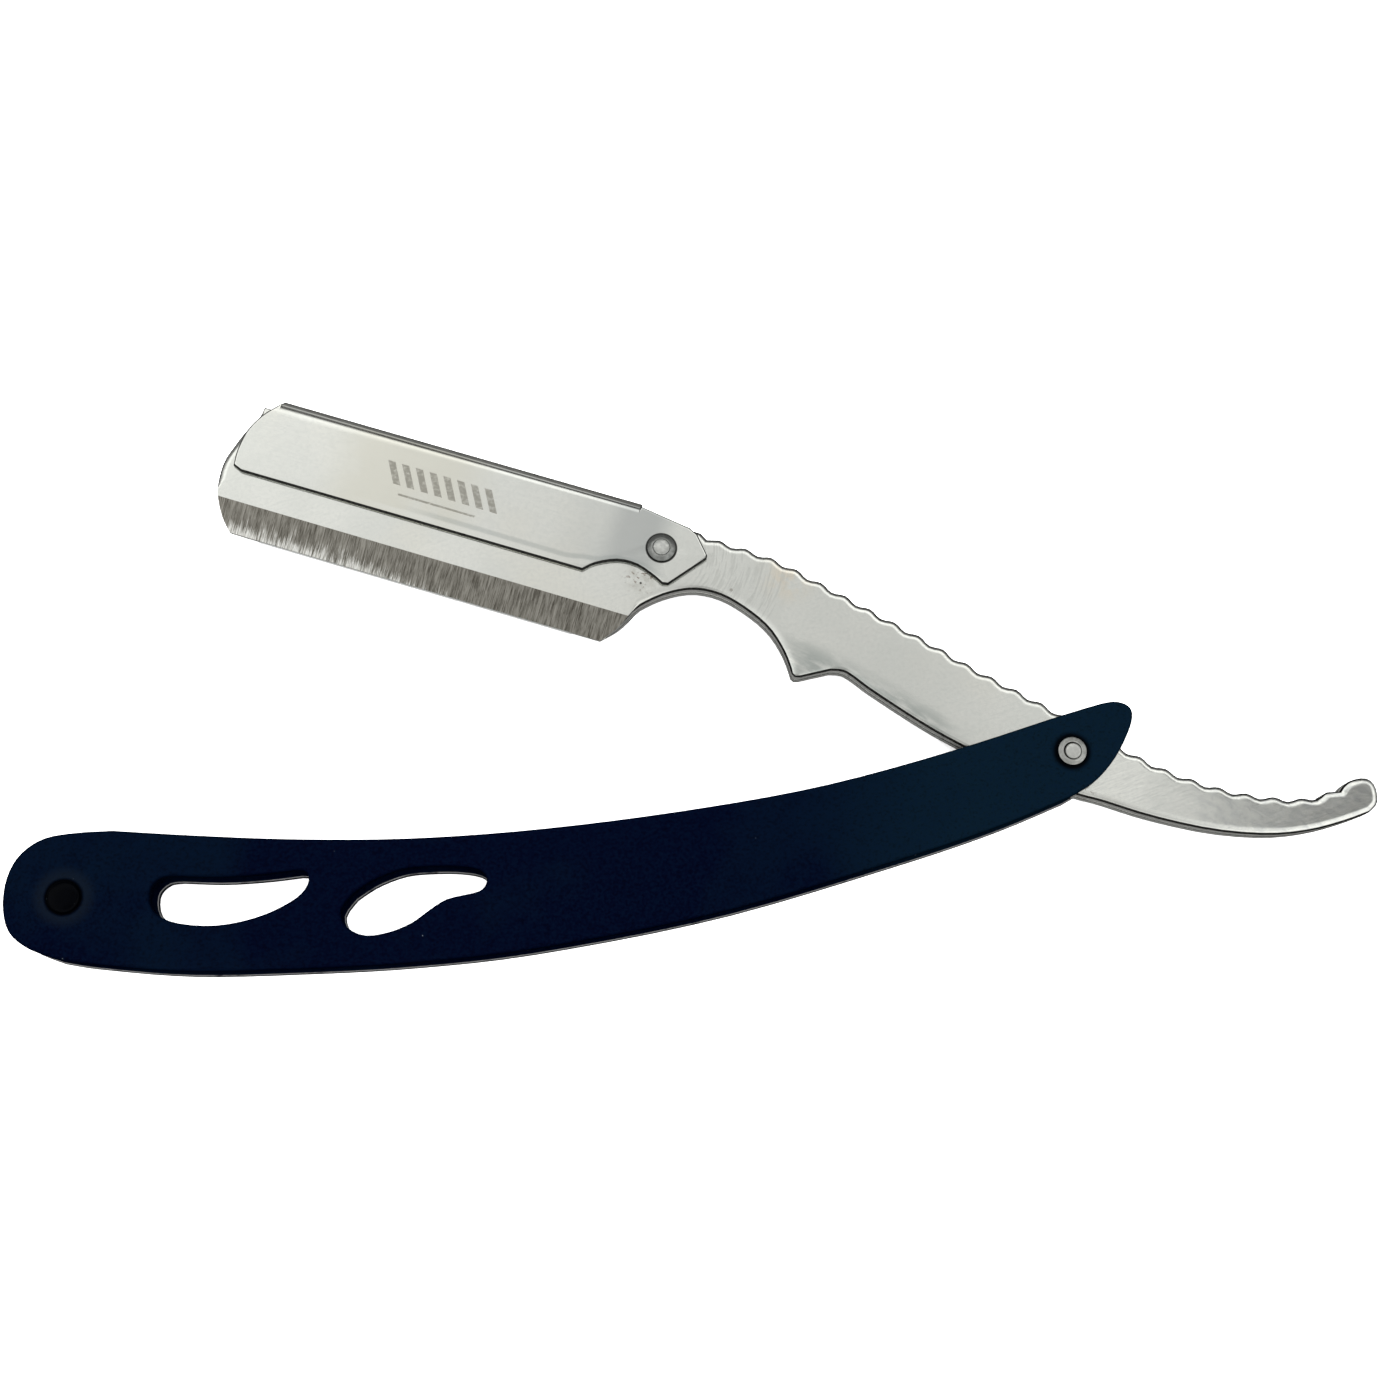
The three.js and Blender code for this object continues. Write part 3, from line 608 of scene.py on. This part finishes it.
def inset_reach(run, ways, kept, width):
    """How far each corner may move inward: width, less where the outline turns tightly, and nothing
    at a kept corner, with an even slope in between."""
    count = len(run)
    reach = [0.0 if vert in kept else width for vert in run]
    spans = []
    for i in range(count):
        j = (i + 1) % count
        side = run[j].co - run[i].co
        spans.append(side.length)
        shrink = (ways[i] - ways[j]).dot(side.normalized())
        if shrink > 0:
            room = 0.7 * side.length / shrink
            reach[i] = min(reach[i], room)
            reach[j] = min(reach[j], room)
    slope = 0.6
    for i in list(range(count)) * 2:
        j = (i + 1) % count
        reach[j] = min(reach[j], reach[i] + slope * spans[i])
    for i in reversed(list(range(count)) * 2):
        j = (i + 1) % count
        reach[i] = min(reach[i], reach[j] + slope * spans[i])
    return reach


def fill_flat(work, rings, up, paint):
    """Fills the flat patch that the rings bound, facing up."""
    corners = [vert for ring in rings for vert in ring]
    for triangle in tessellate_polygon([[vert.co for vert in ring] for ring in rings]):
        face = work.faces.new([corners[i] for i in triangle])
        face.material_index = paint
        face.normal_update()
        if face.normal.dot(up) < 0:
            face.normal_flip()


def soften_rim(work, up_side, height, width, flatness=1.0, edge_paint=None, edge_steps=0):
    """Rounds the rim of the flat patch at a height: width is how far in the round starts, and its
    depth is flatness times that. A short run, such as a hole's, gets the narrow HOLE_RIM. The
    outermost edge_steps of the round take the material index edge_paint."""
    up = Vector((0, 0, up_side))
    flat = {face for face in work.faces
            if all(abs(vert.co.z - height) < 0.001 * MM for vert in face.verts)}
    paint = next(iter(flat)).material_index
    runs, kept = rim_of(flat, up)
    bmesh.ops.delete(work, geom=list(flat), context="FACES_ONLY")
    last_rings = []
    for run in runs:
        around = sum((run[i].co - run[i - 1].co).length for i in range(len(run)))
        ways = inward_ways(run, up)
        wanted = HOLE_RIM if around < SHORT_RUN else width
        reach = inset_reach(run, ways, kept, wanted)
        start = [vert.co.copy() for vert in run]
        for vert, depth in zip(run, reach):
            vert.co -= up * depth * flatness
        ring = run
        for step in range(1, ROUND_STEPS + 1):
            step_paint = edge_paint if step <= edge_steps else paint
            turn = math.radians(90 * step / ROUND_STEPS)
            inward, down = 1 - math.cos(turn), flatness * (1 - math.sin(turn))
            next_ring = [work.verts.new(start[i] + ways[i] * reach[i] * inward - up * reach[i] * down)
                         for i in range(len(run))]
            for i in range(len(run)):
                j = (i + 1) % len(run)
                band = work.faces.new((ring[i], ring[j], next_ring[j], next_ring[i]))
                band.material_index = step_paint
            ring = next_ring
        last_rings.append(ring)
    fill_flat(work, last_rings, up, paint)
    bmesh.ops.remove_doubles(work, verts=work.verts, dist=0.0002 * MM)
    work.normal_update()


def piece_from(work, name, node, body, materials):
    """Makes a piece of the finished mesh, smooth over its rounds and sharp at its corners."""
    for face in work.faces:
        face.smooth = True
    for edge in work.edges:
        faces = edge.link_faces
        same = len(faces) == 2 and faces[0].material_index == faces[1].material_index
        edge.smooth = same and edge.calc_face_angle(0) < SHARP_CORNER
    mesh = bpy.data.meshes.new(name)
    work.to_mesh(mesh)
    work.free()
    piece = add_object(name, mesh, materials)
    weighted = piece.modifiers.new("flat_faces_stay_flat", "WEIGHTED_NORMAL")
    weighted.keep_sharp = True
    return stand_for(piece, node, body)


def is_ground_strip(face):
    """The ground strip is the one face that slopes down to the cutting edge."""
    slope = abs(face.normal.dot(OFF_EDGE))
    return 0.1 < slope < 0.35 and abs(face.normal.dot(ALONG_EDGE)) < 0.05


def side_heights(node):
    """The heights of a plate's two flat faces, from the middle plane outward, and the way out."""
    low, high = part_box(node)
    if low.z < MIDDLE_Z - 0.1 * MM:
        return high.z, low.z, -1
    return low.z, high.z, 1


def make_scales():
    for side in ("front", "back"):
        node = f"{side}_scale"
        inner, outer, out = side_heights(node)
        work = clean_copy(node)
        soften_rim(work, out, outer, 0.42 * MM)
        soften_rim(work, -out, inner, 0.20 * MM)
        piece_from(work, f"coated_{side}_scale", node, "handle", [DARK_COAT])


def make_arm():
    for side in ("front", "back"):
        node = f"{side}_arm_plate"
        inner, outer, out = side_heights(node)
        work = clean_copy(node)
        materials = [ARM_STEEL, BEVEL_STEEL, PAINTED_OUTLINE_EDGE]
        for face in work.faces:
            face.material_index = ARM_BEVEL if is_ground_strip(face) else ARM_FACE
            # Upright walls take the edge painted dark as shade for the outline.
            if abs(face.normal.z) < UPRIGHT:
                face.material_index = ARM_EDGE
        # The outermost three steps of the outer round are painted dark as shade too.
        soften_rim(work, out, outer, 1.0 * MM, flatness=0.42, edge_paint=ARM_EDGE, edge_steps=3)
        soften_rim(work, -out, inner, 0.16 * MM)
        piece_from(work, f"polished_{side}_arm_plate", node, "arm", materials)


def make_cover():
    node = "lock_cover"
    low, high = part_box(node)
    work = clean_copy(node)
    spine_way = 0.95
    for face in work.faces:
        # Upright walls that don't face OFF_EDGE take the edge painted dark as shade for the outline.
        is_outline_wall = abs(face.normal.z) < UPRIGHT and face.normal.dot(OFF_EDGE) < spine_way
        face.material_index = COVER_EDGE if is_outline_wall else COVER_FACE
    # The outermost five steps of each outer round are painted dark as shade too.
    for out, outer in ((1, high.z), (-1, low.z)):
        soften_rim(work, out, outer, 0.34 * MM, edge_paint=COVER_EDGE, edge_steps=5)
        soften_rim(work, -out, outer - out * SHEET_THICKNESS, 0.06 * MM)
    piece_from(work, "folded_lock_cover", node, "cover", [COVER_STEEL, PAINTED_OUTLINE_EDGE])


# ---- Turned pieces ----

ON_AXIS = 1e-6


def lathe(name, profile, centre, material, steps=72, lower=False):
    """A turned piece from [radius, height] pairs in millimetres, with height from the middle plane.
    A profile that starts or ends off the axis closes on itself."""
    work = bmesh.new()
    side = -1 if lower else 1
    rings = []
    for radius, height in profile:
        z = MIDDLE_Z + side * height * MM
        if radius < ON_AXIS:
            rings.append([work.verts.new((centre.x, centre.y, z))])
            continue
        ring = []
        for i in range(steps):
            angle = 2 * math.pi * i / steps
            ring.append(work.verts.new((
                centre.x + radius * MM * math.cos(angle),
                centre.y + radius * MM * math.sin(angle), z)))
        rings.append(ring)
    open_profile = profile[0][0] < ON_AXIS and profile[-1][0] < ON_AXIS
    pairs = list(zip(rings, rings[1:]))
    if not open_profile:
        pairs.append((rings[-1], rings[0]))
    for below, above in pairs:
        for i in range(steps):
            j = (i + 1) % steps
            corners = [below[i % len(below)], below[j % len(below)],
                       above[j % len(above)], above[i % len(above)]]
            unique = list(dict.fromkeys(corners))
            if len(unique) > 2:
                work.faces.new(unique)
    bmesh.ops.recalc_face_normals(work, faces=work.faces)
    for face in work.faces:
        face.smooth = True
    mesh = bpy.data.meshes.new(name)
    work.to_mesh(mesh)
    work.free()
    return add_object(name, mesh, [material])


def rounded_corner(radius, height, size, start, end, steps=5):
    """Points round a corner whose round's centre is at radius, height."""
    points = []
    for i in range(steps + 1):
        angle = math.radians(start + (end - start) * i / steps)
        points.append((radius + size * math.cos(angle), height + size * math.sin(angle)))
    return points


def mirrored_profile(upper):
    """A full profile from its upper half, which ends on the axis."""
    lower = [(radius, -height) for radius, height in reversed(upper)]
    return lower + upper


def peened_pivot():
    """The main pivot, whose ends are hammered into low crowned heads a little off the shaft's axis."""
    size = node_size("pivot_pin") / MM
    head_r, top = size.x / 2 - 0.08, size.z / 2
    foot = top - 0.60
    upper = [(0.95, foot), (head_r - 0.04, foot + 0.05)]
    upper += rounded_corner(head_r - 0.26, top - 0.30, 0.26, 0, 62)
    upper += [(head_r * 0.62, top - 0.06), (head_r * 0.50, top - 0.05), (head_r * 0.30, top - 0.02),
              (head_r * 0.12, top - 0.03), (0, top)]
    pin = lathe("peened_pivot_pin", mirrored_profile(upper), PIVOT, PIVOT_STEEL)
    off_axis = Vector((0.05, -0.04, 0)) * MM
    for vert in pin.data.vertices:
        if abs(vert.co.z - MIDDLE_Z) > (foot - 0.01) * MM:
            vert.co += off_axis
    return stand_for(pin, "pivot_pin", "handle")


def cover_rivet():
    """The rivet that holds the cover: its head and the collar under it are hammered to one cap."""
    size = node_size("cover_pin") / MM
    head_r, top = size.x / 2, size.z / 2
    low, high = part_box("cover_front_collar")
    rim_r, bottom = (high.x - low.x) / MM / 2, (low.z - MIDDLE_Z) / MM
    rise = top - bottom - 0.10
    crown_r = (rim_r ** 2 + rise ** 2) / (2 * rise)
    gap = 0.02

    def cap(start_r, end_r, steps=8):
        """Points along the cap between two radii."""
        points = []
        for i in range(steps + 1):
            r = start_r + (end_r - start_r) * i / steps
            points.append((r, top - crown_r + math.sqrt(crown_r ** 2 - r ** 2)))
        return points

    upper = [(1.0, top - 0.60), (head_r - gap, top - 0.58)] + cap(head_r - gap, 0)
    pin = lathe("peened_cover_pin", mirrored_profile(upper), COVER_RIVET, COVER_RIVET_STEEL)
    stand_for(pin, "cover_pin", "arm")
    around = [(head_r + gap, bottom), (rim_r - 0.05, bottom)] + cap(rim_r, head_r + gap)
    for side in ("front", "back"):
        piece = lathe(f"turned_cover_{side}_collar", around, COVER_RIVET, COVER_RIVET_STEEL,
                      lower=side == "back")
        stand_for(piece, f"cover_{side}_collar", "arm")


def collar(name, node, body, bore_r, lower):
    """A low domed collar with a turned groove round its crown."""
    low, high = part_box(node)
    outer = node_size(node).x / MM / 2
    ends = sorted(abs(z - MIDDLE_Z) / MM for z in (low.z, high.z))
    bottom, top = ends
    rise = top - bottom
    profile = [(bore_r, bottom), (outer - 0.10, bottom)]
    profile += rounded_corner(outer - 0.16, bottom + 0.16, 0.16, -50, 30)
    profile += [(outer - 0.10, bottom + 0.62 * rise), (outer - 0.24, bottom + 0.80 * rise),
                (outer - 0.33, bottom + 0.84 * rise), (outer - 0.38, bottom + 0.82 * rise),
                (outer - 0.44, bottom + 0.93 * rise), (bore_r + 0.12, top), (bore_r + 0.03, top - 0.03),
                (bore_r, top - 0.10)]
    piece = lathe(name, profile, node_centre(node), PIVOT_STEEL, lower=lower)
    return stand_for(piece, node, body)


def domed_end_rivet():
    """The coated rivet at the handle's far end."""
    size = node_size("end_rivet") / MM
    head_r, top = size.x / 2, size.z / 2
    bottom = top - 0.60
    dome = [(head_r * math.cos(math.radians(a)), bottom + 0.12 + 0.48 * math.sin(math.radians(a)))
            for a in range(0, 90, 9)]
    upper = [(1.2, bottom), (head_r - 0.05, bottom), (head_r, bottom + 0.05)] + dome + [(0, top)]
    rivet = lathe("domed_end_rivet", mirrored_profile(upper), END_RIVET, GLOSSY_COAT)
    stand_for(rivet, "end_rivet", "handle")


def ring(name, node, bore_r, body, break_mm):
    """A plain washer or tube with broken edges."""
    low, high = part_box(node)
    outer = node_size(node).x / MM / 2
    bottom, top = (low.z - MIDDLE_Z) / MM, (high.z - MIDDLE_Z) / MM
    b = break_mm
    profile = [(bore_r, bottom + b), (bore_r + b, bottom), (outer - b, bottom), (outer, bottom + b),
               (outer, top - b), (outer - b, top), (bore_r + b, top), (bore_r, top - b)]
    piece = lathe(name, profile, node_centre(node), BRASS)
    for polygon in piece.data.polygons:
        polygon.use_smooth = False
    return stand_for(piece, node, body)


def blade_stud(name, node):
    size = node_size(node) / MM
    r, top = size.x / 2, size.z / 2
    upper = [(r, 0.0)] + rounded_corner(r - 0.15, top - 0.15, 0.15, 0, 90) + [(0, top)]
    stud = lathe(name, mirrored_profile(upper), node_centre(node), STUD_STEEL, steps=48)
    return stand_for(stud, node, "arm")


def make_turned_pieces():
    peened_pivot()
    cover_rivet()
    for side in ("front", "back"):
        lower = side == "back"
        collar(f"turned_pivot_{side}_collar", f"pivot_{side}_collar", "handle", 1.17, lower)
        ring(f"brass_pivot_{side}_washer", f"pivot_{side}_washer", 1.19, "handle", 0.05)
    ring("brass_end_spacer", "end_spacer", 1.29, "handle", 0.12)
    domed_end_rivet()
    blade_stud("ground_heel_stud", "heel_blade_stud")
    blade_stud("ground_toe_stud", "toe_blade_stud")


def finish_blade():
    blade = frame["nodes"]["half_blade"]
    blade.data.materials.clear()
    blade.data.materials.append(BLADE_STEEL)


# ---- Studio ----


def make_floor():
    mesh = bpy.data.meshes.new("studio_floor")
    half = 1.5
    corners = [(-half, -half, 0), (half, -half, 0), (half, half, 0), (-half, half, 0)]
    mesh.from_pydata(corners, [], [(0, 1, 2, 3)])
    floor = add_object("studio_floor", mesh, [pale_floor()])
    floor.visible_glossy = False
    floor.visible_diffuse = False


def tent_walls(n, part):
    """The tent's brightness by height: a bright shoulder, which stands higher to the north, a dark
    band under it and grey sides."""
    shoulder = n.curve(part["Z"], [(-0.3, 0.0), (0.0, 0.26), (0.32, 0.40), (0.40, 0.12),
                                   (0.45, 0.12), (0.53, 1.15), (0.80, 1.20), (0.92, 1.0)])
    north_shoulder = n.curve(part["Z"], [(-0.3, 0.0), (0.0, 0.22), (0.32, 0.36), (0.42, 0.04),
                                         (0.58, 0.08), (0.70, 1.25), (0.92, 1.2)])
    level = n.math("SQRT", n.total(n.product(part["X"], part["X"]),
                                   n.product(part["Y"], part["Y"]), 0.0001))
    north = n.span(n.math("DIVIDE", part["Y"], level), 0.45, 0.80)
    return n.total(n.product(shoulder, n.math("SUBTRACT", 1.0, north)),
                   n.product(north_shoulder, north))


def tent_flag(n, sideways, northward):
    """The mask of a grey flag high on the tent's east side."""
    across = n.curve(sideways, [(0.0, 0), (0.378, 0), (0.42, 0.78), (0.46, 0.80), (0.66, 0.78),
                                (0.8, 0)])
    return n.product(across, n.hump(northward, 0.27, 0.17, 0.07))


def tent_hole(n, direction):
    """The mask of the grey hole that the tent leaves for a lens."""
    toward = Vector((-0.055, -0.32, 1)).normalized()
    soft, full = math.cos(math.radians(13)), math.cos(math.radians(8))
    return n.product(n.span(n.vector("DOT_PRODUCT", direction, toward), soft, full), 0.45)


def make_world():
    """A light tent: an even ceiling, a bright band round its shoulder that draws the white lines on
    rounded edges, a dark band under that, and grey sides. Seen directly, it is a pale backdrop."""
    world = bpy.data.worlds.new("light_tent")
    scene.world = world
    world.use_nodes = True
    n = Nodes(world.node_tree)
    direction = n.tree.nodes.new("ShaderNodeTexCoord").outputs["Generated"]
    part = n.separate(direction)
    up = n.math("MAXIMUM", part["Z"], 0.05)
    sideways = n.math("DIVIDE", part["X"], up)
    northward = n.math("DIVIDE", part["Y"], up)
    ceiling = n.curve(sideways, [(-0.6, 0.86), (-0.26, 0.85), (-0.12, 0.78), (0.0, 0.70), (0.12, 0.63),
                                 (0.20, 0.57), (0.26, 0.64), (0.34, 0.92), (0.9, 0.90)])
    inside = n.span(part["Z"], 0.835, 0.885)
    tent = n.total(n.product(tent_walls(n, part), n.math("SUBTRACT", 1.0, inside)),
                   n.product(ceiling, inside))
    tent = n.product(tent, n.math("SUBTRACT", 1.0, tent_flag(n, sideways, northward)),
                     n.math("SUBTRACT", 1.0, tent_hole(n, direction)))
    seen = n.tree.nodes.new("ShaderNodeLightPath").outputs["Is Camera Ray"]
    backdrop = 0.86
    tent = n.total(n.product(tent, n.math("SUBTRACT", 1.0, seen)), n.product(seen, backdrop))
    background = n.tree.nodes["Background"]
    n.link(tent, background.inputs["Strength"])
    background.inputs["Color"].default_value = (1.0, 1.0, 0.985, 1)


def make_lights():
    """One wide soft fill from above that only lights the floor and matt surfaces."""
    data = bpy.data.lights.new("floor_fill", "AREA")
    data.shape = "SQUARE"
    data.size = 1.6
    data.energy = 42
    lamp = bpy.data.objects.new("floor_fill", data)
    lamp.location = (0, 0, 1.2)
    lamp.visible_glossy = False
    scene.collection.objects.link(lamp)


def make_camera():
    """Looks down on the razor from a little below it, so that the near walls of the cut-outs and
    the handle's lower side show."""
    frame_width = 174.7 * MM
    shift = 0.15
    sensor = 36
    middle = Vector((-3.08, -2.51, 6.55)) * MM
    eye = middle + Vector((-11.0, -64.0, 200.0)) * MM
    aim = middle - Vector((0, shift * frame_width, 0))
    forward = (aim - eye).normalized()
    right = forward.cross(Vector((0, 1, 0))).normalized()
    up = right.cross(forward)
    data = bpy.data.cameras.new("camera")
    data.sensor_width = sensor
    data.lens = sensor * (aim - eye).length / frame_width
    data.shift_y = shift
    data.clip_start = 0.01
    camera = bpy.data.objects.new("camera", data)
    turn = Matrix((right, up, -forward)).transposed().to_4x4()
    camera.matrix_world = Matrix.Translation(eye) @ turn
    scene.collection.objects.link(camera)
    scene.camera = camera


make_camera()
make_scales()
make_arm()
make_cover()
make_turned_pieces()
finish_blade()
make_floor()
make_world()
make_lights()
scene.view_settings.view_transform = "Standard"
